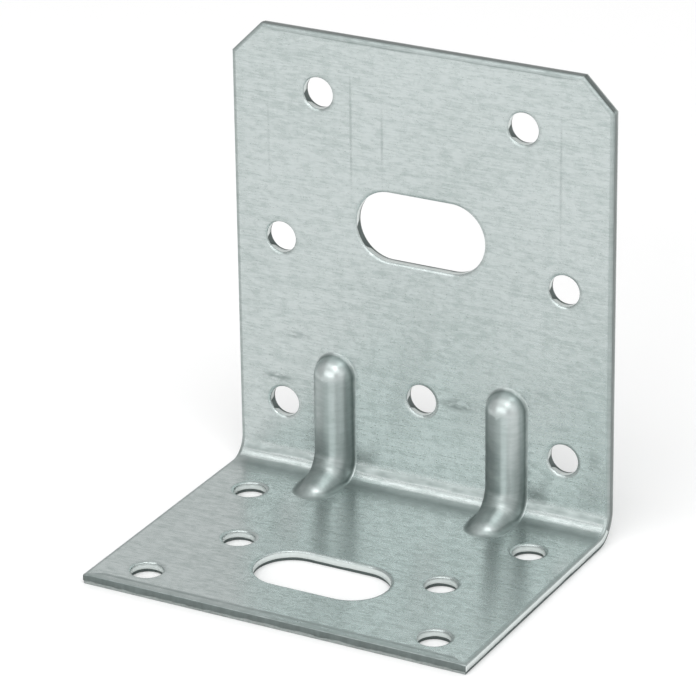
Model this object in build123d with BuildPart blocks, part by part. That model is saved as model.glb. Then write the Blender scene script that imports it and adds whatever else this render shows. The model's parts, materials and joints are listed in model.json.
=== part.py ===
from build123d import *
import math
import os

# Reinforced angle bracket for timber and concrete, folded and punched from one galvanised sheet.
# The wall leg stands at the back and the base leg lies in front of it. Two ribs are pressed
# inwards across the fold, so that each has a matching hollow at the back and underneath.
# Sizes are in millimetres: X runs across the width, Y towards the back and Z upwards.
# The origin is the middle of the footprint, on the plane that the base leg rests on.

# Sheet
sheet = 1.7
width = 65.0
wall_height = 75.3
base_depth = 50.4
bend_inside = 3.2
corner_cut = 5.1

# Edges that the punch draws in, on the side that it strikes
punch_roll = 0.4
rim_roll = 0.3

# Nail holes: insets and drops from an edge, heights above the rest plane, reaches from the back face
nail_bore = 5.1
edge_inset = 8.0
pair_spacing = 35.0
wall_pair_drop = 9.9
wall_upper_height = 40.4
wall_lower_height = 12.2
wall_middle_height = 17.3
base_near_reach = 13.3
base_pair_reach = 29.1
base_far_inset = 5.55

# Bolt slots, one in each leg, lying across the width
slot_length = 22.2
slot_breadth = 11.5
wall_slot_height = 45.4
base_slot_reach = 34.45

# Ribs: the nose is the half-round crest. Its axis floats above the wall's inner face, turns
# forwards round the fold and dips into the base, where the rib dies out in a low toe. The blends
# are at its foot on the inner faces and at the mouth of its hollow on the outer ones.
rib_spacing = 30.2
rib_nose = 3.2
rib_lift = 0.55
rib_turn = 5.6
rib_top_height = 22.1
rib_toe_reach = 11.9
rib_toe_depth = 1.4
rib_blend = 0.5
mouth_blend = 1.5

# Tolerance for picking edges by their place
tiny = 0.001

# Faces of the folded sheet
back = base_depth / 2
front = -base_depth / 2
wall_inside = back - sheet
base_inside = sheet

# Places of the holes that keep to an edge
edge_spacing = width - 2 * edge_inset
wall_pair_height = wall_height - wall_pair_drop
base_far_reach = base_depth - base_far_inset

# Run of a rib's axis, from the centre of its upper dome to the centre of its toe
axis_y = wall_inside - rib_lift
axis_z = base_inside + rib_lift
dome_z = rib_top_height - rib_nose
toe_y = back - rib_toe_reach + math.sqrt(rib_nose**2 - rib_toe_depth**2)
toe_z = base_inside - rib_toe_depth


def rib_form(nose):
    """Round-nosed bead along one rib's run, with straight flanks that go out through the sheet."""
    depth = 2 * sheet
    floor_y = wall_inside + depth
    floor_z = base_inside - depth
    leg = rib_lift + depth
    with BuildPart() as form:
        with BuildLine(Plane.YZ):
            run = FilletPolyline((axis_y, dome_z), (axis_y, axis_z), (toe_y, toe_z), radius=rib_turn)
        upper_end = Plane(run @ 0, x_dir=(1, 0, 0), z_dir=run % 0)
        toe_end = Plane(run @ 1, x_dir=(1, 0, 0), z_dir=(0, -1, 0))

        # Half-round nose on two straight flanks, swept down the wall, round the fold and along the base
        with BuildSketch(upper_end):
            with BuildLine():
                crest = CenterArc((0, 0), nose, 0, 180)
                Polyline(crest @ 0, (nose, -leg), (-nose, -leg), crest @ 1)
            make_face()
        sweep(path=run)

        # Dome at each end
        for end in (upper_end, toe_end):
            with BuildSketch(end):
                with BuildLine():
                    quarter = CenterArc((0, 0), nose, 0, 90)
                    Polyline(quarter @ 0, (nose, -leg), (0, -leg), quarter @ 1)
                make_face()
            revolve(axis=Axis(end.origin, end.y_dir))

        # Flanks between the rib's own turn and the tighter fold of the sheet
        with BuildSketch(Plane.YZ):
            with BuildLine():
                near = FilletPolyline(
                    (axis_y, dome_z), (axis_y, axis_z), (toe_y, toe_z), radius=rib_turn
                )
                far = FilletPolyline(
                    (floor_y, dome_z), (floor_y, floor_z), (toe_y, floor_z), radius=bend_inside + depth
                )
                Line(near @ 0, far @ 0)
                Line(near @ 1, far @ 1)
            make_face()
        extrude(amount=nose, both=True)
    return form.part


def height_above(point, depth):
    """How far a point stands out from the face of the sheet that lies at a depth below the inner face."""
    centre_y = wall_inside - bend_inside
    centre_z = base_inside + bend_inside
    if point.Y > centre_y and point.Z < centre_z:
        return bend_inside + depth - math.hypot(point.Y - centre_y, point.Z - centre_z)
    return min(wall_inside - point.Y, point.Z - base_inside) + depth


def outline_on(edges, depth):
    """Edges that run round a rib on one face of the sheet, without the lines where the fold begins."""
    lying = edges.filter_by(
        lambda edge: all(abs(height_above(edge @ share, depth)) < tiny for share in (0, 0.3, 0.7, 1))
    )
    return lying.filter_by(Axis.X, reverse=True)


# Room in front of the sheet's middle face, where the rib's form stays
with BuildPart() as inner_room:
    with BuildSketch(Plane.YZ):
        with BuildLine():
            middle = FilletPolyline(
                (back - sheet / 2, wall_height), (back - sheet / 2, sheet / 2), (front, sheet / 2),
                radius=bend_inside + sheet / 2,
            )
            Polyline(middle @ 0, (front, wall_height), middle @ 1)
        make_face()
    extrude(amount=width / 2, both=True)

rib_solid = rib_form(rib_nose) & inner_room.part
rib_hollow = rib_form(rib_nose - sheet)
rib_places = [(-rib_spacing / 2, 0), (rib_spacing / 2, 0)]

with BuildPart() as angle_bracket:
    # Folded sheet
    with BuildSketch(Plane.YZ):
        with BuildLine():
            inside = FilletPolyline(
                (wall_inside, wall_height), (wall_inside, base_inside), (front, base_inside),
                radius=bend_inside,
            )
            outside = FilletPolyline(
                (back, wall_height), (back, 0), (front, 0), radius=bend_inside + sheet
            )
            Line(inside @ 0, outside @ 0)
            Line(inside @ 1, outside @ 1)
        make_face()
    extrude(amount=width / 2, both=True)

    # Cut corners at the top of the wall
    top_corners = angle_bracket.edges().filter_by(Axis.Y).group_by(Axis.Z)[-1]
    chamfer(top_corners, corner_cut)

    # Outline drawn in by the punch, on the side that it strikes
    edges = angle_bracket.edges()
    wall_edges = edges.filter_by_position(Axis.Y, wall_inside - tiny, wall_inside + tiny).sort_by(Axis.Z)[1:]
    base_edges = edges.filter_by_position(Axis.Z, base_inside - tiny, base_inside + tiny).sort_by(Axis.Y)[:-1]
    fold_edges = edges.filter_by(GeomType.CIRCLE).sort_by(SortBy.RADIUS)[:2]
    chamfer(wall_edges + base_edges + fold_edges, punch_roll)

    # Holes and slot in the wall, with their rims drawn in
    with BuildSketch(Plane.XZ.offset(-back)):
        with Locations((0, wall_pair_height)):
            with GridLocations(pair_spacing, 1, 2, 1):
                Circle(nail_bore / 2)
        for height in (wall_upper_height, wall_lower_height):
            with Locations((0, height)):
                with GridLocations(edge_spacing, 1, 2, 1):
                    Circle(nail_bore / 2)
        with Locations((0, wall_middle_height)):
            Circle(nail_bore / 2)
        with Locations((0, wall_slot_height)):
            SlotOverall(slot_length, slot_breadth)
    extrude(amount=sheet, mode=Mode.SUBTRACT)
    wall_rims = angle_bracket.edges(Select.LAST).filter_by_position(Axis.Y, wall_inside - tiny, wall_inside + tiny)
    chamfer(wall_rims, rim_roll)

    # Holes and slot in the base, with their rims drawn in
    with BuildSketch(Plane.XY):
        with Locations((0, back - base_pair_reach)):
            with GridLocations(pair_spacing, 1, 2, 1):
                Circle(nail_bore / 2)
        for reach in (base_near_reach, base_far_reach):
            with Locations((0, back - reach)):
                with GridLocations(edge_spacing, 1, 2, 1):
                    Circle(nail_bore / 2)
        with Locations((0, back - base_slot_reach)):
            SlotOverall(slot_length, slot_breadth)
    extrude(amount=sheet, mode=Mode.SUBTRACT)
    base_rims = angle_bracket.edges(Select.LAST).filter_by_position(Axis.Z, base_inside - tiny, base_inside + tiny)
    chamfer(base_rims, rim_roll)

    # Ribs, with their feet blended into the inner faces
    with Locations(*rib_places):
        add(rib_solid)
    fillet(outline_on(angle_bracket.edges(Select.LAST), 0), rib_blend)

    # Hollows behind the ribs, with rounded mouths
    with Locations(*rib_places):
        add(rib_hollow, mode=Mode.SUBTRACT)
    fillet(outline_on(angle_bracket.edges(Select.LAST), sheet), mouth_blend)

angle_bracket.part.label = "angle_bracket"
os.makedirs("parts", exist_ok=True)
export_step(angle_bracket.part, "parts/angle_bracket.step")
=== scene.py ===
import json
import math

import bmesh
import bpy
import numpy as np
from bpy.props import FloatProperty, FloatVectorProperty, IntProperty, PointerProperty, StringProperty
from mathutils import Matrix, Vector
from mathutils.geometry import delaunay_2d_cdt


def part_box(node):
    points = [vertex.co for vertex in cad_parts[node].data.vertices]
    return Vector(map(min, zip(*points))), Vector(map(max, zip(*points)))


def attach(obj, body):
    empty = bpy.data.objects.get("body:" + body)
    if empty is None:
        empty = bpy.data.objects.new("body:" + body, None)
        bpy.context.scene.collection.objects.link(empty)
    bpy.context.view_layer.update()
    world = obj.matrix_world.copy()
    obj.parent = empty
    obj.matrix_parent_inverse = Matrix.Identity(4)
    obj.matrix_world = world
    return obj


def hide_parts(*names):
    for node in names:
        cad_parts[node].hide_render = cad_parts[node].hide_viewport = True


# Angle bracket folded, punched and pressed from one galvanised sheet, in metres.
# X runs across the width, Y towards the back and Z upwards, as in the frame that is loaded below.

bl_info = {
    "name": "Pressed Angle Bracket",
    "version": (1, 0, 0),
    "blender": (4, 5, 0),
    "location": "3D View > Sidebar > Bracket",
    "description": "Builds a folded and pressed sheet bracket with punched holes, and its stage",
    "category": "Add Mesh",
}

MM = 0.001
NODE = "angle_bracket"

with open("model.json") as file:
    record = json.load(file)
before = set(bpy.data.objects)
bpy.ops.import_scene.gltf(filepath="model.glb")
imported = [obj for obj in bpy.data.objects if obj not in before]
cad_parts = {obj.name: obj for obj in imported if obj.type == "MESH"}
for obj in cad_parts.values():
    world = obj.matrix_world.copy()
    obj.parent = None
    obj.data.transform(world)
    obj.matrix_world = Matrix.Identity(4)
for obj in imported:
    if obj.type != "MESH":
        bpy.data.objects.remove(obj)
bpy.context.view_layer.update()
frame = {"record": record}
LOW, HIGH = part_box(NODE)
MOUNTS = {mount["name"]: mount for mount in frame["record"]["mounts"]}

# Material indices on the bracket's mesh: skin, smooth and torn part of a sheared cut, and of a punched one
SKIN, SHEARED, SHEARED_TORN, PUNCHED, PUNCHED_TORN = range(5)

# Mounts of the record whose holes are round, and those that are slots
ROUND_HOLES = (
    "wall_corner_nails", "wall_top_nails", "wall_middle_nail", "base_corner_nails", "base_pair_nails",
)
SLOTS = ("wall_bolt_slot", "base_bolt_slot")

# Shift of the far face on the flat map
FAR_SHIFT = 200 * MM

# Least distance between rings of the mesh, distances at which points are one (on the flat pattern, in mm, and
# on the folded mesh), and a number next to nothing
SLIVER = 0.01 * MM
FLAT_WELD = 1e-5
WELD = 0.0005 * MM
TINY = 1e-9

# Bands across the fold, in shares of its length: start, growth, start of the end and fade
UPPER_LINE = (0.1, 0.2, 0.36, 0.07)
LOWER_LINE = (0.61, 0.1, 0.95, 0.65)
BURNISHED = (0.4, 0.06, 0.62, 0.08)

# Rings of the mesh on the way out to a cut edge: place and depth as shares of the strip that the shear's
# clamp sets down, and how much darker it is made there
CLAMP_RINGS = ((1.17, 0.0, 0.3), (1.04, 0.3, 0.85), (0.9, 0.8, 1.0), (0.76, 1.0, 0.4))
RIM_STEPS = 6
# Rings in the torn part of a cut, as shares of its height, and the rounding of its lower rim
TORN_RINGS = (0.12, 0.4, 0.7)
LOWER_RIM_HEIGHT = 0.04 * MM
LOWER_RIM_WIDTH = 0.06 * MM
# Way on the flat pattern from a wall hole's middle to its lower left, where the cut tears early so that its
# dark torn finish is a painted reflection
PAINTED_TEAR_SIDE = (-0.9, 0.44)

# Heights up to which the left and the right rib get their darkest painted shade, and how far that takes to
# fade out above them and along the toe
LEFT_DARK_HEIGHT = 7.0 * MM
RIGHT_DARK_HEIGHT = 12.5 * MM
DARK_FADE = 4.5 * MM
TOE_FADE = 3 * MM
# Share of a rib's half-breadth that the foot's blend takes on the flat map
BLEND_SHARE = 0.25

# Unit and decimals of every length among the settings
LENGTH = {"unit": "LENGTH", "precision": 5}


class BracketSheetSettings(bpy.types.PropertyGroup):
    """Sizes of the folded sheet and its cut edges."""

    thickness: FloatProperty(
        name="Thickness", description="Thickness of the sheet", default=1.7 * MM, **LENGTH
    )
    fold_radius: FloatProperty(
        name="Fold radius", description="Radius on the inside of the fold", default=3.2 * MM, **LENGTH
    )
    corner_cut: FloatProperty(
        name="Corner cut", description="Leg of the 45 degree cut at the wall's top corners", default=5.1 * MM,
        **LENGTH,
    )
    roll_width: FloatProperty(
        name="Roll width", description="How far the punch draws the struck face in beside an edge",
        default=0.6 * MM, **LENGTH,
    )
    roll_depth: FloatProperty(
        name="Roll depth", description="How deep the struck face is drawn in at an edge", default=0.3 * MM,
        **LENGTH,
    )
    shear_width: FloatProperty(
        name="Shear width",
        description="Breadth of the strip that the shear's clamp sets down at the front end",
        default=1.4 * MM, **LENGTH,
    )
    shear_depth: FloatProperty(
        name="Shear depth", description="How far that strip is set down", default=0.07 * MM, **LENGTH
    )
    shear_roll: FloatProperty(
        name="Shear roll", description="Radius that the shear leaves at the front end's rim",
        default=0.12 * MM, **LENGTH,
    )
    burnish_share: FloatProperty(
        name="Burnish share", description="Share of the thickness at which the smooth cut gives way",
        default=0.68, min=0.2, max=0.9, subtype="FACTOR",
    )
    break_out: FloatProperty(
        name="Break-out", description="How far the torn part of a cut lies back from the smooth part",
        default=0.09 * MM, **LENGTH,
    )
    grid: FloatProperty(
        name="Grid", description="Spacing of the mesh on the flat faces", default=1.6 * MM, **LENGTH
    )
    edge_step: FloatProperty(
        name="Edge step", description="Spacing of the mesh along the cut edges", default=0.45 * MM, **LENGTH
    )
    fold_steps: IntProperty(name="Fold steps", description="Mesh rows round the fold", default=24, min=6)
    seed: IntProperty(name="Seed", description="Seed of the torn edges' unevenness", default=11, min=0)


class BracketHoleSettings(bpy.types.PropertyGroup):
    """Sizes of the punched holes. Their places come from the record's mounts."""

    slot_length: FloatProperty(
        name="Slot length", description="End-to-end length of a bolt slot", default=22.2 * MM, **LENGTH
    )
    slot_breadth: FloatProperty(
        name="Slot breadth", description="Width of a bolt slot", default=11.5 * MM, **LENGTH
    )


class BracketRibSettings(bpy.types.PropertyGroup):
    """Sizes of the two ribs pressed across the fold."""

    spacing: FloatProperty(
        name="Spacing", description="Distance between the ribs' middle lines", default=30.2 * MM, **LENGTH
    )
    nose: FloatProperty(
        name="Nose radius", description="Radius of the half-round crest", default=3.2 * MM, **LENGTH
    )
    lift: FloatProperty(
        name="Lift", description="Height of the nose's axis above the inner faces", default=0.55 * MM,
        **LENGTH,
    )
    turn: FloatProperty(
        name="Turn radius", description="Radius of the axis where the rib crosses the fold", default=5.6 * MM,
        **LENGTH,
    )
    top_height: FloatProperty(
        name="Top height", description="Height of the upper dome's tip", default=22.1 * MM, **LENGTH
    )
    toe_reach: FloatProperty(
        name="Toe reach", description="Distance of the toe's tip from the back face", default=11.9 * MM,
        **LENGTH,
    )
    toe_depth: FloatProperty(
        name="Toe depth", description="Depth of the nose's axis below the base's inner face, at the toe",
        default=1.4 * MM, **LENGTH,
    )
    upper_blend: FloatProperty(
        name="Upper blend", description="Radius at the foot of the flanks, at the upper dome",
        default=0.55 * MM, **LENGTH,
    )
    lower_blend: FloatProperty(
        name="Lower blend", description="Radius at the foot of the flanks, at the fold", default=0.4 * MM,
        **LENGTH,
    )
    toe_blend: FloatProperty(
        name="Toe blend", description="Radius at the foot of the low toe", default=1.6 * MM, **LENGTH
    )
    dome_steps: IntProperty(name="Dome steps", description="Mesh steps round a dome", default=28, min=8)
    nose_steps: IntProperty(name="Nose steps", description="Mesh rows from flank to crest", default=12, min=4)
    blend_steps: IntProperty(
        name="Blend steps", description="Mesh rows in the foot's blend", default=6, min=2
    )
    run_step: FloatProperty(
        name="Run step", description="Spacing of the mesh along a rib", default=0.45 * MM, **LENGTH
    )


class BracketFinishSettings(bpy.types.PropertyGroup):
    """Colours and gloss of the galvanised skin and the bare cut edges, as sRGB hex."""

    zinc: StringProperty(name="Zinc", description="Clean zinc", default="C2CAC9")
    zinc_dull: StringProperty(name="Dull zinc", description="Dulled streaks and clouds", default="AFB9B7")
    # The same grey also paints the shade on the ribs and on the rims of the cut edges
    stain_and_shade: StringProperty(name="Stain", description="Grey smears of handling and tools", default="7C8785")
    sheared: StringProperty(name="Sheared", description="Smooth part of a sheared cut", default="7F8987")
    sheared_torn: StringProperty(name="Sheared, torn", description="Its torn part", default="C3CAC8")
    punched: StringProperty(name="Punched", description="Ironed part of a punched cut", default="E2E9E7")
    punched_torn: StringProperty(name="Punched, torn", description="Its torn part", default="6E7876")
    roughness: FloatProperty(
        name="Roughness", description="Roughness of clean zinc", default=0.25, min=0.0, max=1.0,
        subtype="FACTOR",
    )
    grain: FloatProperty(
        name="Grain", description="How much rougher the sheet is across the rolling direction than along it",
        default=0.88, min=0.0, max=1.0, subtype="FACTOR",
    )


class BracketStageSettings(bpy.types.PropertyGroup):
    """Camera and studio of the picture."""

    eye: FloatVectorProperty(
        name="Eye", description="Place of the camera", size=3, subtype="TRANSLATION",
        default=(271.86 * MM, -496.47 * MM, 283.0 * MM),
    )
    aim: FloatVectorProperty(
        name="Aim", description="Point at the middle of the picture", size=3, subtype="TRANSLATION",
        default=(3.47 * MM, -6.23 * MM, 38.6 * MM),
    )
    roll: FloatProperty(
        name="Roll", description="Turn of the camera about its line of sight", subtype="ANGLE",
        default=math.radians(-0.83),
    )
    lens: FloatProperty(name="Lens", description="Focal length", default=213.5, subtype="DISTANCE_CAMERA")
    floor: StringProperty(name="Floor", description="Colour of the floor, as sRGB hex", default="FFFFFF")
    sky: FloatProperty(name="Surrounding light", description="Strength of the light all round", default=0.69)


def linear(hex_colour):
    """Linear red, green, blue and alpha of an sRGB hex colour."""
    parts = [int(hex_colour[i:i + 2], 16) / 255 for i in (0, 2, 4)]
    return tuple(c / 12.92 if c <= 0.04045 else ((c + 0.055) / 1.055) ** 2.4 for c in parts) + (1.0,)


def add_node(tree, kind, settings=None, links=None):
    """Adds a node, sets its properties and unlinked inputs, and links its other inputs to output sockets.

    A mix node's two values are inputs 2 and 3 for numbers, and 6 and 7 for colours.
    """
    node = tree.nodes.new(kind)
    for name, value in (settings or {}).items():
        if isinstance(name, str) and hasattr(node, name):
            setattr(node, name, value)
        else:
            node.inputs[name].default_value = value
    for name, socket in (links or {}).items():
        tree.links.new(socket, node.inputs[name])
    return node


def smooth(value, start=0.0, width=1.0):
    """Smooth step from 0 to 1, over a width from start on."""
    t = np.clip((value - start) / width, 0.0, 1.0)
    return t * t * (3 - 2 * t)


class FlatPattern:
    """The sheet laid flat: x across, s down the wall, round the fold and out along the base."""

    def __init__(self, sheet):
        self.thickness = sheet.thickness
        self.radius = sheet.fold_radius
        self.half_width = (HIGH.x - LOW.x) / 2
        self.top = HIGH.z
        self.wall_inside = HIGH.y - sheet.thickness
        self.base_inside = LOW.z + sheet.thickness
        self.centre_y = self.wall_inside - sheet.fold_radius
        self.centre_z = self.base_inside + sheet.fold_radius
        self.fold_start = self.top - self.centre_z
        self.fold_length = (sheet.fold_radius + sheet.thickness / 2) * math.pi / 2
        self.fold_end = self.fold_start + self.fold_length
        self.length = self.fold_end + self.centre_y - LOW.y

    def on_wall(self, z):
        """Flat place of a height on the wall."""
        return self.top - z

    def on_base(self, y):
        """Flat place of a point on the base."""
        return self.fold_end + self.centre_y - y

    def angle(self, s):
        """Angle turned by the fold at a flat place, from 0 on the wall to a right angle on the base."""
        return np.clip((np.asarray(s) - self.fold_start) / self.fold_length, 0, 1) * math.pi / 2

    def normal(self, s):
        """Direction out of the struck face."""
        a = self.angle(s)
        return np.stack([np.zeros_like(a), -np.cos(a), np.sin(a)], axis=-1)

    def fold_marks(self, x, s):
        """Bands along the fold: a burnished band, below 0, between two darker, duller lines."""
        turned = (s - self.fold_start) / self.fold_length
        # The bands waver a little across the width, and the burnished one stops short of the sides
        turned = turned + 0.012 * (np.sin(x / (4.3 * MM)) + np.sin(x / (1.9 * MM) + 1.3))
        upper, lower, burnished = (
            smooth(turned, start, growth) * (1 - smooth(turned, end, fade))
            for start, growth, end, fade in (UPPER_LINE, LOWER_LINE, BURNISHED)
        )
        ends = 1 - smooth(np.abs(x) - self.half_width + 1.6 * MM, 0, 0.9 * MM)
        return 0.75 * upper + 0.65 * lower - burnished * ends

    def place(self, x, s, depth=0.0):
        """Points in space of flat places, at a depth below the struck face."""
        x, s, depth = np.broadcast_arrays(np.asarray(x, float), s, depth)
        a = self.angle(s)
        reach = self.radius + depth
        above = np.minimum(s, self.fold_start)
        beyond = np.maximum(s - self.fold_end, 0)
        y = self.centre_y + reach * np.cos(a) - beyond
        z = self.centre_z - reach * np.sin(a) + (self.fold_start - above)
        return np.stack([x, y, z], axis=-1)


class Shell:
    """Points and faces of the bracket, gathered part by part.

    Each point has its place on the flat pattern, how far marks and painted shade make it darker and duller
    (1) or the tools burnished it (-1), and how far it was stretched.
    """

    def __init__(self):
        self.points = []
        self.flats = []
        self.scuffed = []
        self.stretched = []
        self.faces = []
        self.finishes = []
        self.count = 0

    def add(self, points, flats, far=False, scuffed=0.0, stretched=0.0):
        """Adds points and returns their numbers. The far face has its own stretch of the flat map."""
        self.points.append(points)
        self.flats.append(np.asarray(flats) + ((FAR_SHIFT, 0) if far else (0, 0)))
        self.scuffed.append(np.broadcast_to(scuffed, len(points)))
        self.stretched.append(np.broadcast_to(stretched, len(points)))
        numbers = np.arange(self.count, self.count + len(points))
        self.count += len(points)
        return numbers

    def strip(self, first, second, finishes):
        """Closed band of quads between two rings of as many points, with a finish for each quad."""
        for a, b, c, d, finish in zip(first, np.roll(first, -1), np.roll(second, -1), second, finishes):
            self.faces.append((a, b, c, d))
            self.finishes.append(int(finish))

    def mesh(self, name):
        """Welded mesh with its faces turned outwards."""
        mesh = bpy.data.meshes.new(name)
        mesh.from_pydata(np.concatenate(self.points).tolist(), [], [tuple(map(int, f)) for f in self.faces])
        mesh.polygons.foreach_set("material_index", self.finishes)
        flat_map = mesh.uv_layers.new(name="flat_pattern")
        corners = np.empty(len(mesh.loops), int)
        mesh.loops.foreach_get("vertex_index", corners)
        flat_map.data.foreach_set("uv", np.concatenate(self.flats)[corners].ravel())
        for key, values in (("scuffed", self.scuffed), ("stretched", self.stretched)):
            layer = mesh.attributes.new(key, "FLOAT", "POINT")
            layer.data.foreach_set("value", np.concatenate(values))
        mesh.validate()
        work = bmesh.new()
        work.from_mesh(mesh)
        bmesh.ops.remove_doubles(work, verts=work.verts, dist=WELD)
        bmesh.ops.recalc_face_normals(work, faces=work.faces)
        if any(len(edge.link_faces) != 2 for edge in work.edges):
            raise RuntimeError("the bracket's shell isn't closed")
        for face in work.faces:
            face.smooth = True
        work.to_mesh(mesh)
        work.free()
        return mesh


def closed_loop(corners, step, stops):
    """Points of a closed polygon in even steps, passing the s values in stops, and the way inwards there."""
    points, inward = [], []
    corners = np.asarray(corners, float)
    count = len(corners)
    sides = np.roll(corners, -1, axis=0) - corners
    sides = sides / np.linalg.norm(sides, axis=1, keepdims=True)
    normals = np.stack([-sides[:, 1], sides[:, 0]], axis=1)
    before = np.roll(normals, 1, axis=0)
    mitres = (before + normals) / (1 + (before * normals).sum(axis=1, keepdims=True))
    for i in range(count):
        start, end = corners[i], corners[(i + 1) % count]
        length, drop = np.linalg.norm(end - start), end[1] - start[1]
        if abs(drop) < TINY:
            cuts = np.linspace(0, 1, max(2, int(length / step) + 1))
        else:
            low_s, high_s = sorted((start[1], end[1]))
            passed = [stop for stop in stops if low_s < stop < high_s]
            marks = sorted([start[1], *passed, end[1]], reverse=drop < 0)
            shares = [(mark - start[1]) / drop for mark in marks]
            cuts = [0.0]
            for low, high in zip(shares, shares[1:]):
                pieces = max(1, int(round((high - low) * length / step)))
                cuts += list(np.linspace(low, high, pieces + 1)[1:])
        for share in cuts[:-1]:
            points.append(start + (end - start) * share)
            inward.append(mitres[i] * (1 - share) + mitres[(i + 1) % count] * share)
    return np.array(points), np.array(inward)


def round_loop(centre, radius, straight, step):
    """Points and outward directions of a circle, or of a slot whose straight sides are given."""
    half = straight / 2
    turn = max(12, int(round(math.pi * radius / step)))
    points, outward = [], []
    for side, first in ((1, -math.pi / 2), (-1, math.pi / 2)):
        angles = first + math.pi * np.arange(turn + (1 if half else 0)) / turn
        ray = np.stack([np.cos(angles), np.sin(angles)], axis=1)
        points.append(ray * radius + (side * half, 0))
        outward.append(ray)
        if half:
            along = np.linspace(1, -1, max(2, int(round(straight / step))) + 1)[1:-1]
            points.append(np.stack([along * half * side, np.full(len(along), side * radius)], axis=1))
            outward.append(np.tile((0, side), (len(along), 1)))
    return np.concatenate(points) + centre, np.concatenate(outward).astype(float)


def uneven(rng, count, reach):
    """Smooth unevenness round a closed loop, from -1 to 1, in waves of about reach points."""
    kernel = np.hanning(2 * reach + 3)[1:-1]
    noise = rng.uniform(-1, 1, count)
    padded = np.concatenate([noise[-reach:], noise, noise[:reach]])
    smoothed = np.convolve(padded, kernel / kernel.sum(), mode="valid")
    return smoothed / max(np.abs(smoothed).max(), TINY)


def cut_edge(shell, pattern, sheet, rng, points, into, front=None, top=None):
    """Drawn-in rim, smooth cut and torn cut along one loop, from the struck face to the far face.

    The outline comes with its shares of the front end and the top, which are 1 where it runs along them. A
    hole comes without.
    """
    count = len(points)
    outer = front is not None
    front, top = (np.zeros(count) if share is None else share for share in (front, top))
    fine, coarse, slow = (uneven(rng, count, reach) for reach in (1, 6, 12))
    roll = sheet.roll_width * (1 - front) + sheet.shear_roll * front
    fall = sheet.roll_depth * (1 - front) + sheet.shear_roll * front
    set_down = sheet.shear_depth * front
    # The clamped strip and the drawn-in rim end at the knee, and a guard ring keeps the flat mesh clear of it
    clamped = sheet.shear_width * (1 + 0.07 * slow) * front
    knee = np.maximum(clamped, roll * (1.2 + 0.15 * top * slow))
    guard = knee * 1.2 + 0.12 * MM
    on_wall = points[:, 1] < pattern.fold_start + pattern.fold_length / 2

    # Painted reflection: each wall hole tears early on one side, so that the dark torn finish reaches up
    # there
    painted_tear = smooth(into @ PAINTED_TEAR_SIDE, 0.9, 0.07) * (on_wall & (not outer))
    thickness = sheet.thickness
    give = thickness * (
        sheet.burnish_share * (1 - 0.8 * painted_tear) + 0.05 * coarse + (0.02 + 0.05 * front) * fine
    )

    # The front end and the wall's outline are sheared, and the rest is punched. The sheared finish is dark
    # partly as painted shade, and the punched one bright partly as painted light
    sheared = (on_wall | (points[:, 1] > pattern.length - SLIVER)) & outer
    smooth_cut = np.where(sheared, SHEARED, PUNCHED)
    torn_cut = np.where(sheared, SHEARED_TORN, PUNCHED_TORN)
    skin = np.full(count, SKIN)

    # Rings from the struck face to the far face: inset, depth, finish and how much darker
    edge = points + into * guard[:, None]
    marks = pattern.fold_marks(edge[:, 0], edge[:, 1])
    line = 0.8 * front + 0.9 * top
    level, whole = np.zeros(count), np.full(count, thickness)
    rings = [(guard, level, skin, marks)]
    for share, depth, darkening in CLAMP_RINGS:
        inset = np.maximum(knee * share, roll * (1 + 0.1 * share))
        rings.append((inset, set_down * depth, skin, marks + line * darkening))
    for turn in np.linspace(0, math.pi / 2, RIM_STEPS + 1):
        inset, depth = roll * (1 - math.sin(turn)), set_down + fall * (1 - math.cos(turn))
        # Painted shade on the rim's roll: darker towards the edge on the outline, faint round the holes
        rim_shade = 0.4 + 0.35 * math.sin(turn) + 0.15 * front if outer else 0.1
        rings.append((inset, depth, skin, rim_shade))
    rings.append((level, give, smooth_cut, 0))
    for share in TORN_RINGS:
        ragged = sheet.break_out * (0.8 + 0.2 * share + (0.2 + 0.8 * front) * uneven(rng, count, 1))
        rings.append((np.maximum(ragged, SLIVER), give + (thickness - give) * share, torn_cut, 0))
    far_rings = [
        (level + sheet.break_out, whole - LOWER_RIM_HEIGHT, torn_cut, 0),
        (level + (sheet.break_out + LOWER_RIM_WIDTH), whole, skin, 0.3),
        (guard, whole, skin, 0),
    ]
    numbers = []
    for side, far in ((rings, False), (far_rings, True)):
        for inset, depth, _, darkening in side:
            flat = points + into * inset[:, None]
            numbers.append(shell.add(pattern.place(flat[:, 0], flat[:, 1], depth), flat, far, darkening))
    finishes = [ring[2] for ring in rings + far_rings]
    for first, second, finish in zip(numbers, numbers[1:], finishes[1:]):
        shell.strip(first, second, finish)
    return edge, numbers[0], numbers[-1]


def flat_centres(pattern, name):
    """Flat places of the centres of a mount's holes, from the record."""
    mount = MOUNTS[name]
    middle = np.array(mount["pos_m"])
    in_wall = abs(mount["axis"][1]) > 0.5
    second = np.array((0, 0, 1) if in_wall else (0, 1, 0))
    halves = [mount["dims"].get(key, 0) * MM / 2 for key in ("spacing_x_mm", "spacing_y_mm")]
    across, along = ([-half, half] if half else [0.0] for half in halves)
    places = [middle + (x, 0, 0) + second * v for x in across for v in along]
    return [np.array([x, pattern.on_wall(z) if in_wall else pattern.on_base(y)]) for x, y, z in places]


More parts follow.
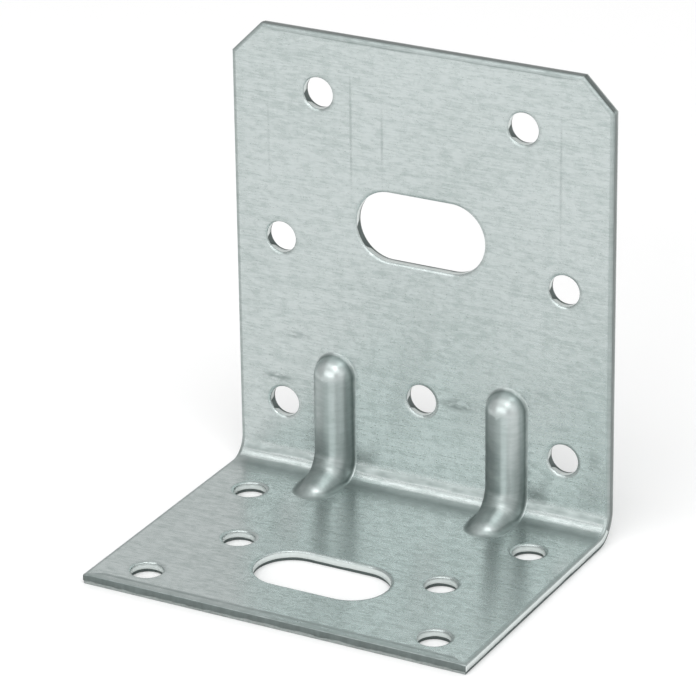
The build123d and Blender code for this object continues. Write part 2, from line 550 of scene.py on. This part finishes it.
class RibRun:
    """Run of a rib's axis: down in front of the wall, round the turn and sloping to the toe's centre."""

    def __init__(self, pattern, rib):
        self.pattern, self.rib = pattern, rib
        self.dome_z = rib.top_height - rib.nose
        self.toe_y = HIGH.y - rib.toe_reach + math.sqrt(rib.nose ** 2 - rib.toe_depth ** 2)
        self.toe_z = pattern.base_inside - rib.toe_depth
        corner = np.array([pattern.wall_inside - rib.lift, pattern.base_inside + rib.lift])
        slope = np.array([self.toe_y, self.toe_z]) - corner
        self.slope = slope / np.linalg.norm(slope)
        self.out = np.array([self.slope[1], -self.slope[0]])
        half = math.acos(float(self.slope[1])) / 2
        reach = rib.turn / math.tan(half)
        self.centre = corner + np.array([-rib.turn, reach])
        self.start = pattern.on_wall(self.dome_z)
        self.end = pattern.on_base(self.toe_y)

    def axis(self, s):
        """Point of the axis straight out from a flat place, the rib's own way out, and the gap between."""
        foot = self.pattern.place(0, s)[1:]
        out = self.pattern.normal(s)[1:]
        offset = foot - self.centre
        along = offset @ out
        under = along ** 2 - offset @ offset + self.rib.turn ** 2
        if offset[1] >= 0:
            return foot + out * self.rib.lift, out, self.rib.lift
        if under >= 0:
            gap = -along - math.sqrt(under)
            hit = offset + out * gap
            if hit @ self.slope <= 0:
                return foot + out * gap, -hit / self.rib.turn, gap
        gap = -float((foot - (self.toe_y, self.toe_z)) @ self.out / (out @ self.out))
        return foot + out * gap, self.out, gap

    def stations(self):
        """Places round a rib's foot: down one flank, round the toe, up the other flank and round the dome."""
        rib, pattern = self.rib, self.pattern
        cuts = (self.start, pattern.fold_start, pattern.fold_end, self.end)
        run = []
        for low, high in zip(cuts, cuts[1:]):
            pieces = max(2, int(round((high - low) / rib.run_step)))
            run += list(np.linspace(low, high, pieces + 1)[:-1])
        run.append(self.end)
        turns = np.linspace(0, math.pi, rib.dome_steps + 1)[1:-1]
        places = [(s, (1.0, 0.0)) for s in run]
        places += [(self.end, (math.cos(a), math.sin(a))) for a in turns]
        places += [(s, (-1.0, 0.0)) for s in reversed(run)]
        places += [(self.start, (-math.cos(a), -math.sin(a))) for a in turns]
        return places


def rib_foot(rib, blend, gap):
    """Distance of a rib's foot from its middle, and the turn at which the blend meets the nose."""
    if blend > gap:
        foot = math.sqrt((rib.nose + blend) ** 2 - (blend - gap) ** 2)
        return foot, math.atan2(foot, blend - gap)
    return rib.nose + blend, math.pi / 2


def painted_rib_shade(level, past_fold, ahead, off_crest, dark_height):
    """Painted shade on a rib, at angles in degrees to the right of its crest.

    It darkens the left flank and the crest, and the right flank less, both most of all low down near the
    base.
    The strip between them, from 18 to 36 degrees, where the highlight runs, and the upper dome's cap are left
    unshaded.
    """
    low = 1 - smooth(level, dark_height, DARK_FADE)
    toe = smooth(past_fold, 0, TOE_FADE)
    cap = 1 - 0.9 * smooth(-ahead, 0.08, 0.4)
    left = (1 - smooth(off_crest, 4, 14)) * (0.55 + 0.45 * low * (1 - 0.6 * toe))
    right = smooth(off_crest, 36, 16) * (0.1 + 0.42 * low * (1 - 0.4 * toe))
    return (left + right) * cap


def pressed_rib(shell, pattern, rib, middle):
    """Crest on the struck face and matching hollow on the far face of one rib."""
    run = RibRun(pattern, rib)
    dark_height = LEFT_DARK_HEIGHT if middle < 0 else RIGHT_DARK_HEIGHT
    sides = {0.0: [], pattern.thickness: []}
    loop, flats, rib_marks_and_shade = [], [], []
    for s, (across, ahead) in run.stations():
        axis, upward, gap = run.axis(s)
        out = pattern.normal(s)
        tilt = math.acos(min(1.0, float(upward @ out[1:])))
        level = float(pattern.place(0, s)[2])
        upper = smooth(level / run.dome_z, 0.375, 0.625)
        lower = smooth(rib.lift - gap, 0, rib.lift + rib.toe_depth)
        blend = rib.lower_blend + (rib.upper_blend - rib.lower_blend) * upper
        blend += (rib.toe_blend - rib.lower_blend) * lower
        clear = gap * (math.cos(tilt) + (1 - math.cos(tilt)) * smooth(ahead, 0, 0.5))
        reach, last = rib_foot(rib, blend, clear)
        foot = pattern.place(middle, s)
        lateral = np.array([across, -out[2] * ahead, out[1] * ahead])
        centre = np.array([middle, *axis])
        crest = np.array([0, *upward])
        aside = np.array([across, -upward[1] * ahead, upward[0] * ahead])

        # From the foot up the blend and over the nose to its crest, on the struck face and the far one
        blend_turns = np.linspace(0, last, rib.blend_steps + 1)
        nose_turns = np.linspace(math.pi / 2 - last + tilt * ahead, math.pi / 2, rib.nose_steps + 1)
        for offset, columns in sides.items():
            flank = [
                foot + lateral * (reach - (blend + offset) * math.sin(turn))
                + out * (blend - (blend + offset) * math.cos(turn))
                for turn in blend_turns
            ]
            nose = [
                centre + (rib.nose - offset) * (aside * math.cos(turn) + crest * math.sin(turn))
                for turn in nose_turns
            ]
            # Where the blend is higher than the flank, it is drawn over to meet the nose
            if blend > clear:
                shift = nose[0] - flank[-1]
                shares = smooth(blend_turns / last)
                flank = [point + shift * share for point, share in zip(flank, shares)]
            columns.append(flank + nose)
        loop.append((middle + across * reach, s + ahead * reach))
        blend_spans = reach * (1 - BLEND_SHARE * blend_turns / last)
        nose_spans = (1 - BLEND_SHARE) * reach * np.linspace(1, 0, len(nose_turns))
        spans = np.concatenate([blend_spans, nose_spans])
        flats.append(np.stack([middle + across * spans, s + ahead * spans], axis=1))

        off_crest = np.degrees(math.pi / 2 - nose_turns) * across
        body = painted_rib_shade(level, s - pattern.fold_end, ahead, off_crest, dark_height)
        # Painted shade: the turn is darkened and dulled all over, which dims its highlights
        turn_share = min(max((s - pattern.fold_start) / pattern.fold_length, 0), 1)
        body = np.maximum(body, 0.7 * math.sin(math.pi * turn_share) ** 0.5)
        # Painted shade: a thin dark line runs where the flank meets the sheet
        body = np.concatenate([body[0] * smooth(blend_turns / last, 0, 0.5), body])
        contact = np.concatenate([
            smooth(blend_turns / last, 0, 0.45), 1 - smooth(np.linspace(0, 6, len(nose_turns)))
        ])
        rib_marks_and_shade.append(np.maximum(body, contact * (0.55 + 0.4 * abs(across))))
    flats, rib_marks_and_shade = np.array(flats), np.array(rib_marks_and_shade)
    rib_marks_and_shade[:, 0] = [pattern.fold_marks(x, s) for x, s in loop]
    rings = []
    for offset, columns in sides.items():
        grid = np.array(columns)
        stretch = smooth(np.arange(grid.shape[1]) / rib.blend_steps)
        numbers = [
            shell.add(grid[:, k], flats[:, k], offset > 0, rib_marks_and_shade[:, k] * (offset == 0), stretch[k])
            for k in range(grid.shape[1])
        ]
        for first, second in zip(numbers, numbers[1:]):
            shell.strip(first, second, np.full(len(first), SKIN))
        rings.append(numbers[0])
    return np.array(loop), rings[0], rings[1]


def inside(points, polygon):
    """Which points lie inside a closed polygon."""
    x, y = points[:, 0][:, None], points[:, 1][:, None]
    x0, y0 = polygon[:, 0][None], polygon[:, 1][None]
    x1, y1 = np.roll(polygon[:, 0], -1)[None], np.roll(polygon[:, 1], -1)[None]
    spans = (y0 > y) != (y1 > y)
    rise = np.where(y1 == y0, TINY, y1 - y0)
    crosses = x < (x1 - x0) * (y - y0) / rise + x0
    return (spans & crosses).sum(axis=1) % 2 == 1


def fill_faces(shell, pattern, sheet, loops):
    """Fills both faces of the sheet between the outline, which comes first, and the other loops."""
    base_length = pattern.length - pattern.fold_end
    xs = np.arange(-pattern.half_width, pattern.half_width, sheet.grid) + sheet.grid / 2
    wall_rows = np.linspace(0, pattern.fold_start, int(pattern.fold_start / sheet.grid))
    fold_rows = np.linspace(pattern.fold_start, pattern.fold_end, sheet.fold_steps + 1)
    base_rows = np.linspace(pattern.fold_end, pattern.length, int(base_length / sheet.grid))
    rows = np.unique(np.concatenate([wall_rows, fold_rows, base_rows]))
    grid = np.stack(np.meshgrid(xs, rows), axis=-1).reshape(-1, 2)
    outlines = [points for points, _, _ in loops]
    keep = inside(grid, outlines[0])
    for points in outlines[1:]:
        keep &= ~inside(grid, points)
    # Grid points too near a loop would make thin triangles
    edge_points = np.concatenate(outlines)
    near = np.min(np.linalg.norm(grid[:, None] - edge_points[None], axis=2), axis=1)
    grid = grid[keep & (near > 0.3 * sheet.grid)]

    marks = pattern.fold_marks(grid[:, 0], grid[:, 1])
    inner = shell.add(pattern.place(grid[:, 0], grid[:, 1]), grid, scuffed=marks)
    outer = shell.add(pattern.place(grid[:, 0], grid[:, 1], sheet.thickness), grid, far=True)
    struck = np.concatenate([first for _, first, _ in loops] + [inner])
    far = np.concatenate([last for _, _, last in loops] + [outer])
    flat = np.concatenate([edge_points, grid])
    edges, start = [], 0
    for points in outlines:
        count = len(points)
        edges += [(start + i, start + (i + 1) % count) for i in range(count)]
        start += count
    # Triangles inside the loops, which all have to stay apart
    places = [Vector(p) for p in (flat / MM).tolist()]
    verts, _, faces, origins, _, _ = delaunay_2d_cdt(places, edges, [], 1, FLAT_WELD)
    if len(verts) != len(flat):
        raise RuntimeError("loops of the flat pattern touch or cross")
    source = np.array([origin[0] for origin in origins])
    faces = source[np.array([list(face) for face in faces])]
    middles = flat[faces].mean(axis=1)
    keep = np.ones(len(faces), bool)
    for points in outlines[1:]:
        keep &= ~inside(middles, points)
    for face in faces[keep]:
        shell.faces.append(tuple(struck[face]))
        shell.faces.append(tuple(far[face][::-1]))
        shell.finishes += [SKIN, SKIN]


# Grains of the skin: length across the sheet and height along its run in mm, detail and roughness. The fine
# streaks are under 0.1 mm high on the real sheet, and are drawn at 0.26 mm so that they show.
GRAINS = {
    "fine": (2.6, 0.26, 3.0, 0.6),
    "bands": (14.0, 1.3, 4.0, 0.6),
    "clouds": (1.9, 1.1, 4.0, 0.7),
    "wide": (22.0, 16.0, 2.0, 0.5),
    "specks": (0.7, 0.6, 2.0, 0.5),
    "patches": (2.5, 2.5, 4.0, 0.6),
    "flecks": (1.6, 0.8, 4.0, 0.65),
}

# Marks on the wall's struck face in mm: place across, height, half-breadth and half-height, and how dark
DRAG_LINES = (
    (-26.3, 56.5, 0.3, 8.0, 0.35),
    (-11.8, 59.7, 0.3, 13.0, 0.55),
    (-6.4, 59.2, 0.3, 8.5, 0.4),
    (23.9, 58.2, 0.3, 15.0, 0.35),
)
SMEARS = (
    (-25.6, 16.2, 3.4, 1.1, 0.9),
    (6.6, 17.9, 3.6, 1.3, 1.0),
    (20.6, 4.6, 2.2, 2.6, 0.8),
    (-9.3, 4.6, 1.8, 2.4, 0.5),
    (20.9, 22.4, 1.6, 0.7, 0.6),
    (29.8, 13.0, 1.4, 2.4, 0.5),
    (-21.8, 24.2, 3.2, 0.9, 0.5),
)

# Setting of a map range node that eases in and out
SOFTLY = {"interpolation_type": "SMOOTHSTEP"}
# Share of the colour of stains and painted shade in the darkest mark, and of the grain's lay that a stretched
# rib keeps
STAIN_SHARE = 0.8
RIB_GRAIN = 0.3
# How much rougher marks and stretching make the zinc, and how much smoother the bending tool's nose leaves it
MARKED_ROUGH = 0.12
STRETCHED_ROUGH = 0.11
POLISH = 0.05
# The roll's texture is a few micrometres deep, and the sheet itself is never quite flat
LAY_DEPTH = 0.006 * MM
SWELL_DEPTH = 0.04 * MM

# Bare metal of the cut edges: material, its colour among the settings, roughness, length and height of its
# scores or grains in mm, how much darker they are, and how deep in mm
CUT_METALS = (
    # Sheared cut, at the front end and round the wall: a dark, smooth band of steel, scored along the stroke,
    # its darkness partly painted shade
    ("sheared_steel_smooth", "sheared", 0.32, 0.8, 4.0, 0.5, 0.01),
    # Below it the steel tears off in pale, coarse grains
    ("sheared_steel_torn", "sheared_torn", 0.62, 0.5, 0.35, 0.6, 0.06),
    # Punched cut: the punch irons zinc down over the cut, which stays bright, its brightness partly painted
    # light
    ("punched_zinc_ironed", "punched", 0.38, 0.6, 4.0, 0.15, 0.01),
    # Its torn part is narrow, dark and rough, and at the lower left of each wall hole it is drawn taller as a
    # painted reflection
    ("punched_steel_torn", "punched_torn", 0.6, 0.4, 0.4, 0.5, 0.04),
)


def galvanised_skin(finish, pattern):
    """Hot-dip galvanised sheet, skin-passed: semi-matt zinc with rolling streaks, dull clouds, smears and
    painted shade.
    """
    material = bpy.data.materials.new("galvanised_skin_passed_steel")
    material.use_nodes = True
    tree = material.node_tree
    shader = tree.nodes["Principled BSDF"]
    shader.inputs["Metallic"].default_value = 1.0
    # A quarter turn lays the blur across the rolled grain, which runs along the map's X
    shader.inputs["Anisotropic Rotation"].default_value = 0.25
    flat = add_node(tree, "ShaderNodeUVMap", {"uv_map": "flat_pattern"}).outputs["UV"]
    along = add_node(tree, "ShaderNodeTangent", {"direction_type": "UV_MAP", "uv_map": "flat_pattern"})
    tree.links.new(along.outputs["Tangent"], shader.inputs["Tangent"])
    scuffed = add_node(tree, "ShaderNodeAttribute", {"attribute_name": "scuffed"}).outputs["Fac"]
    stretched = add_node(tree, "ShaderNodeAttribute", {"attribute_name": "stretched"}).outputs["Fac"]

    grains = {}
    for name, (length, height, detail, rough) in GRAINS.items():
        scaled = add_node(
            tree, "ShaderNodeVectorMath",
            {"operation": "MULTIPLY", 1: (1 / (length * MM), 1 / (height * MM), 1)}, {0: flat},
        )
        grains[name] = add_node(
            tree, "ShaderNodeTexNoise", {"Scale": 1.0, "Detail": detail, "Roughness": rough},
            {"Vector": scaled.outputs["Vector"]},
        ).outputs["Fac"]
    # Stretching a rib smooths the rolled grain out
    for name in ("fine", "bands"):
        grains[name] = add_node(
            tree, "ShaderNodeMix", {"data_type": "FLOAT", 3: 0.5}, {0: stretched, 2: grains[name]}
        ).outputs[0]

    # Share of each grain in how dull the zinc is, how rough it is and how high its lay stands. Nearly all of
    # a noise lies between 0.3 and 0.7.
    sums = {}
    for total, name, low, high in (
        ("dull", "fine", -0.4, 0.4),
        ("dull", "bands", -0.25, 0.25),
        ("dull", "clouds", -0.4, 0.4),
        ("dull", "wide", 0.24, 0.5),
        ("rough", "fine", finish.roughness - 0.025, finish.roughness + 0.03),
        ("rough", "clouds", -0.03, 0.04),
        ("lay", "fine", 0.0, 0.35),
        ("lay", "clouds", 0.0, 0.65),
    ):
        share = add_node(
            tree, "ShaderNodeMapRange",
            {**SOFTLY, "From Min": 0.3, "From Max": 0.7, "To Min": low, "To Max": high},
            {"Value": grains[name]},
        ).outputs["Result"]
        if total in sums:
            share = add_node(
                tree, "ShaderNodeMath", {"operation": "ADD"}, {0: sums[total], 1: share}
            ).outputs[0]
        sums[total] = share

    # Small dark specks, drag lines and smears, the last two broken up
    marks = add_node(
        tree, "ShaderNodeMapRange", {"From Min": 0.66, "From Max": 0.74, "To Max": 0.3},
        {"Value": grains["specks"]},
    ).outputs["Result"]
    for strokes, grain, least in ((DRAG_LINES, "patches", 0.4), (SMEARS, "flecks", 0.0)):
        broken = add_node(
            tree, "ShaderNodeMapRange", {**SOFTLY, "From Min": 0.35, "From Max": 0.62, "To Min": least},
            {"Value": grains[grain]},
        ).outputs["Result"]
        for place, height, half_breadth, half_height, dark in strokes:
            scale = (1 / (half_breadth * MM), 1 / (half_height * MM), 0)
            shift = (-place * MM * scale[0], -pattern.on_wall(height * MM) * scale[1], 0)
            moved = add_node(
                tree, "ShaderNodeVectorMath", {"operation": "MULTIPLY_ADD", 1: scale, 2: shift}, {0: flat}
            )
            reach = add_node(
                tree, "ShaderNodeVectorMath", {"operation": "LENGTH"}, {0: moved.outputs["Vector"]}
            )
            spot = add_node(
                tree, "ShaderNodeMapRange",
                {**SOFTLY, "From Min": 0.25, "From Max": 1.1, "To Min": dark, "To Max": 0.0},
                {"Value": reach.outputs["Value"]},
            )
            spot = add_node(
                tree, "ShaderNodeMath", {"operation": "MULTIPLY"}, {0: spot.outputs["Result"], 1: broken}
            )
            marks = add_node(
                tree, "ShaderNodeMath", {"operation": "MAXIMUM"}, {0: marks, 1: spot.outputs[0]}
            ).outputs[0]

    # The marks and the painted shade carried on the mesh are unevenly dark
    patchy = add_node(
        tree, "ShaderNodeMapRange", {"From Min": 0.25, "From Max": 0.75, "To Min": 0.7, "To Max": 1.25},
        {"Value": grains["patches"]},
    )
    tool = add_node(
        tree, "ShaderNodeMath", {"operation": "MULTIPLY"}, {0: scuffed, 1: patchy.outputs["Result"]}
    )
    marks = add_node(
        tree, "ShaderNodeMath", {"operation": "MAXIMUM"}, {0: marks, 1: tool.outputs[0]}
    ).outputs[0]

    zinc = add_node(
        tree, "ShaderNodeMix", {"data_type": "RGBA", 6: linear(finish.zinc), 7: linear(finish.zinc_dull)},
        {0: sums["dull"]},
    )
    darkening_share = add_node(tree, "ShaderNodeMath", {"operation": "MULTIPLY", 1: STAIN_SHARE}, {0: marks})
    marked = add_node(
        tree, "ShaderNodeMix", {"data_type": "RGBA", 7: linear(finish.stain_and_shade)},
        {0: darkening_share.outputs[0], 6: zinc.outputs[2]},
    )
    tree.links.new(marked.outputs[2], shader.inputs["Base Color"])

    # Marks and stretching make the zinc rougher, and the bending tool's nose polishes it
    burnished = add_node(
        tree, "ShaderNodeMapRange", {"From Min": -1.0, "From Max": 0.0, "To Min": -1.0, "To Max": 0.0},
        {"Value": scuffed},
    ).outputs["Result"]
    rough = sums["rough"]
    for value, factor in ((marks, MARKED_ROUGH), (stretched, STRETCHED_ROUGH), (burnished, POLISH)):
        rough = add_node(
            tree, "ShaderNodeMath", {"operation": "MULTIPLY_ADD", 1: factor}, {0: value, 2: rough}
        ).outputs[0]
    tree.links.new(rough, shader.inputs["Roughness"])

    # The rolled grain blurs reflections along the run only. A rib is blurred more evenly.
    grain = add_node(
        tree, "ShaderNodeMapRange", {"To Min": finish.grain, "To Max": RIB_GRAIN * finish.grain},
        {"Value": stretched},
    )
    tree.links.new(grain.outputs["Result"], shader.inputs["Anisotropic"])

    bump = add_node(tree, "ShaderNodeBump", {"Distance": LAY_DEPTH}, {"Height": sums["lay"]})
    swell = add_node(
        tree, "ShaderNodeBump", {"Distance": SWELL_DEPTH},
        {"Height": grains["wide"], "Normal": bump.outputs["Normal"]},
    )
    tree.links.new(swell.outputs["Normal"], shader.inputs["Normal"])
    return material


def cut_steel(name, hex_colour, roughness, length, height, contrast, depth):
    """Bare metal of a cut edge, with scores or grains of the given length, height and depth in mm."""
    material = bpy.data.materials.new(name)
    material.use_nodes = True
    tree = material.node_tree
    shader = tree.nodes["Principled BSDF"]
    shader.inputs["Metallic"].default_value = 1.0
    place = add_node(tree, "ShaderNodeTexCoord")
    scaled = add_node(
        tree, "ShaderNodeVectorMath",
        {"operation": "MULTIPLY", 1: (1 / (length * MM), 1 / (length * MM), 1 / (height * MM))},
        {0: place.outputs["Object"]},
    )
    noise = add_node(
        tree, "ShaderNodeTexNoise", {"Scale": 1.0, "Detail": 4.0, "Roughness": 0.6},
        {"Vector": scaled.outputs["Vector"]},
    )
    colour = linear(hex_colour)
    shade = tuple(value * (1 - contrast) for value in colour[:3]) + (1.0,)
    mix = add_node(
        tree, "ShaderNodeMix", {"data_type": "RGBA", 6: shade, 7: colour}, {0: noise.outputs["Fac"]}
    )
    tree.links.new(mix.outputs[2], shader.inputs["Base Color"])
    shader.inputs["Roughness"].default_value = roughness
    bump = add_node(tree, "ShaderNodeBump", {"Distance": depth * MM}, {"Height": noise.outputs["Fac"]})
    tree.links.new(bump.outputs["Normal"], shader.inputs["Normal"])
    return material


class BRACKET_OT_folded_sheet(bpy.types.Operator):
    """Build the folded sheet with its holes, slots, cut edges and pressed ribs"""

    bl_idname = "bracket.folded_sheet"
    bl_label = "Folded Sheet"

    def execute(self, context):
        scene = context.scene
        sheet, holes, rib = scene.bracket_sheet, scene.bracket_holes, scene.bracket_ribs
        pattern = FlatPattern(sheet)
        rng = np.random.default_rng(sheet.seed)
        shell = Shell()
        w, cut, length = pattern.half_width, sheet.corner_cut, pattern.length
        corners = [(-w + cut, 0), (w - cut, 0), (w, cut), (w, length), (-w, length), (-w, cut)]
        stops = np.linspace(pattern.fold_start, pattern.fold_end, sheet.fold_steps + 1)
        points, inward = closed_loop(corners, sheet.edge_step, stops)
        across, along = np.abs(points[:, 0]), points[:, 1]
        front = smooth(w - across, 0, sheet.shear_width) * (along > length - SLIVER)
        top = smooth(w - cut - across, 0, sheet.shear_width) * (along < SLIVER)
        loops = [cut_edge(shell, pattern, sheet, rng, points, inward, front, top)]

        nail_radius = MOUNTS["wall_corner_nails"]["dims"]["hole_r_mm"] * MM
        slot_radius = holes.slot_breadth / 2
        slot_straight = holes.slot_length - holes.slot_breadth
        for names, radius, straight in ((ROUND_HOLES, nail_radius, 0), (SLOTS, slot_radius, slot_straight)):
            for name in names:
                for centre in flat_centres(pattern, name):
                    points, outward = round_loop(centre, radius, straight, sheet.edge_step)
                    loops.append(cut_edge(shell, pattern, sheet, rng, points, outward))
        for side in (-1, 1):
            loops.append(pressed_rib(shell, pattern, rib, side * rib.spacing / 2))
        fill_faces(shell, pattern, sheet, loops)

        piece = bpy.data.objects.new("pressed_sheet", shell.mesh("pressed_sheet"))
        scene.collection.objects.link(piece)
        finish = scene.bracket_finish
        piece.data.materials.append(galvanised_skin(finish, pattern))
        for name, colour, *looks in CUT_METALS:
            piece.data.materials.append(cut_steel(name, getattr(finish, colour), *looks))
        piece.modifiers.new("even_faces", "WEIGHTED_NORMAL")
        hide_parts(NODE)
        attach(piece, "root")
        return {"FINISHED"}


# Reach of the floor from the middle and its gap below the bracket, and the softboxes' distance
FLOOR_REACH = 3.0
FLOOR_GAP = 0.02 * MM
LIGHT_DISTANCE = 1.15
# Softboxes: bearing from +X towards +Y and height in degrees, width and height in metres, radiance
SOFTBOXES = (
    ("key_front_top", 258, 68, 1.3, 0.5, 1.1),
    ("fill_front", 267, 24, 1.25, 0.5, 2.05),
    ("strip_front_right", 318, 58, 0.5, 0.6, 2.2),
    ("fill_right", -12, 30, 0.9, 0.8, 0.6),
    ("fill_back_left", 120, 26, 0.8, 0.6, 0.2),
    ("edge_back_right", 58, 5, 0.9, 0.3, 1.5),
)


class BRACKET_OT_stage(bpy.types.Operator):
    """Build the floor, the studio lights and the camera"""

    bl_idname = "bracket.stage"
    bl_label = "Stage"

    def execute(self, context):
        scene = context.scene
        stage = scene.bracket_stage
        floor_mesh = bpy.data.meshes.new("floor")
        corners = [(x * FLOOR_REACH, y * FLOOR_REACH, 0) for x, y in ((-1, -1), (1, -1), (1, 1), (-1, 1))]
        floor_mesh.from_pydata(corners, [], [(0, 1, 2, 3)])
        floor = bpy.data.objects.new("floor", floor_mesh)
        floor.location.z = LOW.z - FLOOR_GAP
        scene.collection.objects.link(floor)
        # Board painted matt white: pale all over, with no gloss
        paint = bpy.data.materials.new("matt_white_board")
        paint.use_nodes = True
        board = paint.node_tree.nodes["Principled BSDF"].inputs
        board["Base Color"].default_value = linear(stage.floor)
        board["Roughness"].default_value = 0.9
        floor_mesh.materials.append(paint)

        world = bpy.data.worlds.new("studio")
        world.use_nodes = True
        surroundings = world.node_tree.nodes["Background"].inputs
        surroundings["Color"].default_value = (1, 1, 1, 1)
        surroundings["Strength"].default_value = stage.sky
        scene.world = world

        middle = Vector((0, 0, HIGH.z / 2))
        for name, bearing, height, wide, high, radiance in SOFTBOXES:
            data = bpy.data.lights.new(name, "AREA")
            data.shape = "RECTANGLE"
            data.size, data.size_y = wide, high
            # A flat light spreads its power over pi times its area
            data.energy = radiance * math.pi * wide * high
            lamp = bpy.data.objects.new(name, data)
            b, h = math.radians(bearing), math.radians(height)
            ray = Vector((math.cos(b) * math.cos(h), math.sin(b) * math.cos(h), math.sin(h)))
            lamp.location = middle + ray * LIGHT_DISTANCE
            lamp.rotation_mode = "QUATERNION"
            lamp.rotation_quaternion = (-ray).to_track_quat("-Z", "Y")
            scene.collection.objects.link(lamp)
        scene.view_settings.view_transform = "Standard"

        data = bpy.data.cameras.new("camera")
        data.sensor_width = 36.0
        data.lens = stage.lens
        data.clip_start = 0.01
        camera = bpy.data.objects.new("camera", data)
        eye, aim = Vector(stage.eye), Vector(stage.aim)
        turn = (aim - eye).to_track_quat("-Z", "Y").to_matrix() @ Matrix.Rotation(stage.roll, 3, "Z")
        camera.matrix_world = Matrix.Translation(eye) @ turn.to_4x4()
        scene.collection.objects.link(camera)
        scene.camera = camera
        return {"FINISHED"}


class BRACKET_PT_panel(bpy.types.Panel):
    """Lists the bracket's operators and sizes"""

    bl_idname = "BRACKET_PT_panel"
    bl_label = "Pressed Angle Bracket"
    bl_space_type = "VIEW_3D"
    bl_region_type = "UI"
    bl_category = "Bracket"

    def draw(self, context):
        for title, name, settings, operator in SECTIONS:
            box = self.layout.box()
            box.label(text=title)
            for key in settings.__annotations__:
                box.prop(getattr(context.scene, name), key)
            if operator:
                box.operator(operator)


# Sections of the panel: title, name on the scene, settings and operator
SECTIONS = (
    ("Sheet", "bracket_sheet", BracketSheetSettings, "bracket.folded_sheet"),
    ("Holes", "bracket_holes", BracketHoleSettings, None),
    ("Ribs", "bracket_ribs", BracketRibSettings, None),
    ("Finish", "bracket_finish", BracketFinishSettings, None),
    ("Stage", "bracket_stage", BracketStageSettings, "bracket.stage"),
)
CLASSES = (BRACKET_OT_folded_sheet, BRACKET_OT_stage, BRACKET_PT_panel)


def register():
    for _, name, settings, _ in SECTIONS:
        bpy.utils.register_class(settings)
        setattr(bpy.types.Scene, name, PointerProperty(type=settings))
    for cls in CLASSES:
        bpy.utils.register_class(cls)


def unregister():
    for cls in reversed(CLASSES):
        bpy.utils.unregister_class(cls)
    for _, name, settings, _ in SECTIONS:
        delattr(bpy.types.Scene, name)
        bpy.utils.unregister_class(settings)


def main():
    register()
    bpy.ops.bracket.folded_sheet()
    bpy.ops.bracket.stage()


if __name__ == "__main__":
    main()
